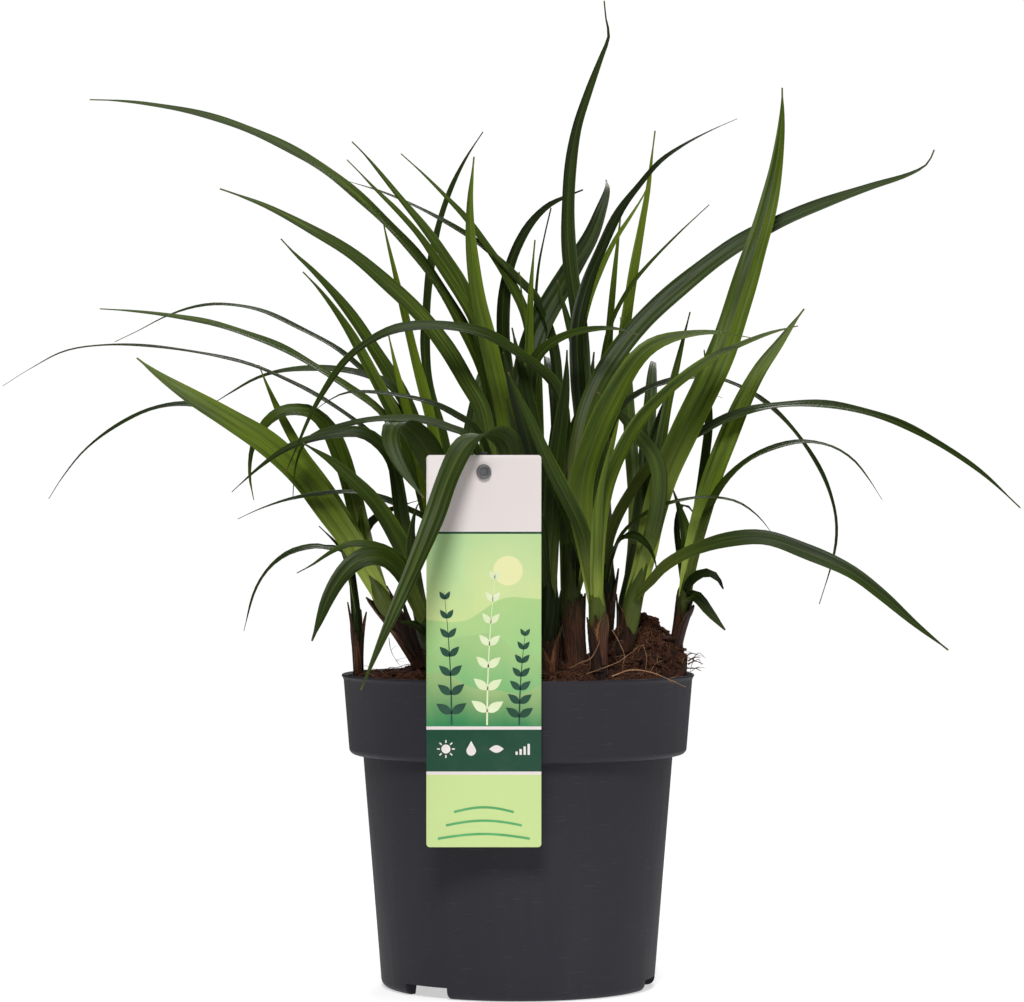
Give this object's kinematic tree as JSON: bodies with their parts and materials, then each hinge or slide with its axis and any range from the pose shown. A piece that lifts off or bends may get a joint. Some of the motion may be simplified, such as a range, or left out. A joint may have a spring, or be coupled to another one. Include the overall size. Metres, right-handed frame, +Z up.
{
  "type": "potted sedge plant",
  "caption": "Tufted sedge with arching, folded leaves in a dark round nursery pot, with a blank green plant label on a peg.",
  "frame": {"origin": "on the ground, midway between the outermost leaf tips, under the middle of the pot", "axes": "+Z up, -Y towards the front, where the label stands, +X to the right"},
  "size_m": [0.4941, 0.2792, 0.4838],
  "materials": {
    "pot_plastic": "satin anthracite, fine moulded streaks",
    "peat": "crumbly red-brown potting soil",
    "label_card": "smooth printed card in pale and dark green bands",
    "peg_plastic": "satin",
    "sheath": "dry fibrous brown",
    "leaf_L1": "satin leaf, finely ribbed along its length",
    "leaf_L2": "satin leaf, finely ribbed along its length",
    "leaf_M1": "satin leaf, finely ribbed along its length",
    "leaf_M2": "satin leaf, finely ribbed along its length",
    "leaf_B3": "satin leaf, finely ribbed along its length",
    "leaf_M3": "satin leaf, finely ribbed along its length",
    "leaf_M4": "satin leaf, finely ribbed along its length",
    "leaf_C0": "satin leaf, finely ribbed along its length",
    "leaf_C1": "satin leaf, finely ribbed along its length",
    "leaf_C2": "satin leaf, finely ribbed along its length",
    "leaf_C3": "satin leaf, finely ribbed along its length",
    "leaf_B1": "satin leaf, finely ribbed along its length",
    "leaf_R1": "satin leaf, finely ribbed along its length",
    "leaf_B2": "satin leaf, finely ribbed along its length",
    "leaf_R2": "satin leaf, finely ribbed along its length"
  },
  "bodies": {
    "root": {"pot": "pot_plastic", "soil": "peat", "plant_label": "label_card", "label_peg": "peg_plastic", "sheath_L1": "sheath", "sheath_L2": "sheath", "sheath_M1": "sheath", "sheath_M2": "sheath", "sheath_B3": "sheath", "sheath_M3": "sheath", "sheath_M4": "sheath", "sheath_C0": "sheath", "sheath_C1": "sheath", "sheath_C2": "sheath", "sheath_C3": "sheath", "sheath_B1": "sheath", "sheath_R1": "sheath", "sheath_B2": "sheath", "sheath_R2": "sheath", "tuft_L1": "leaf_L1", "tuft_L2": "leaf_L2", "tuft_M1": "leaf_M1", "tuft_M2": "leaf_M2", "tuft_B3": "leaf_B3", "tuft_M3": "leaf_M3", "tuft_M4": "leaf_M4", "tuft_C0": "leaf_C0", "tuft_C1": "leaf_C1", "tuft_C2": "leaf_C2", "tuft_C3": "leaf_C3", "tuft_B1": "leaf_B1", "tuft_R1": "leaf_R1", "tuft_B2": "leaf_B2", "tuft_R2": "leaf_R2"}
  },
  "joints": []
}
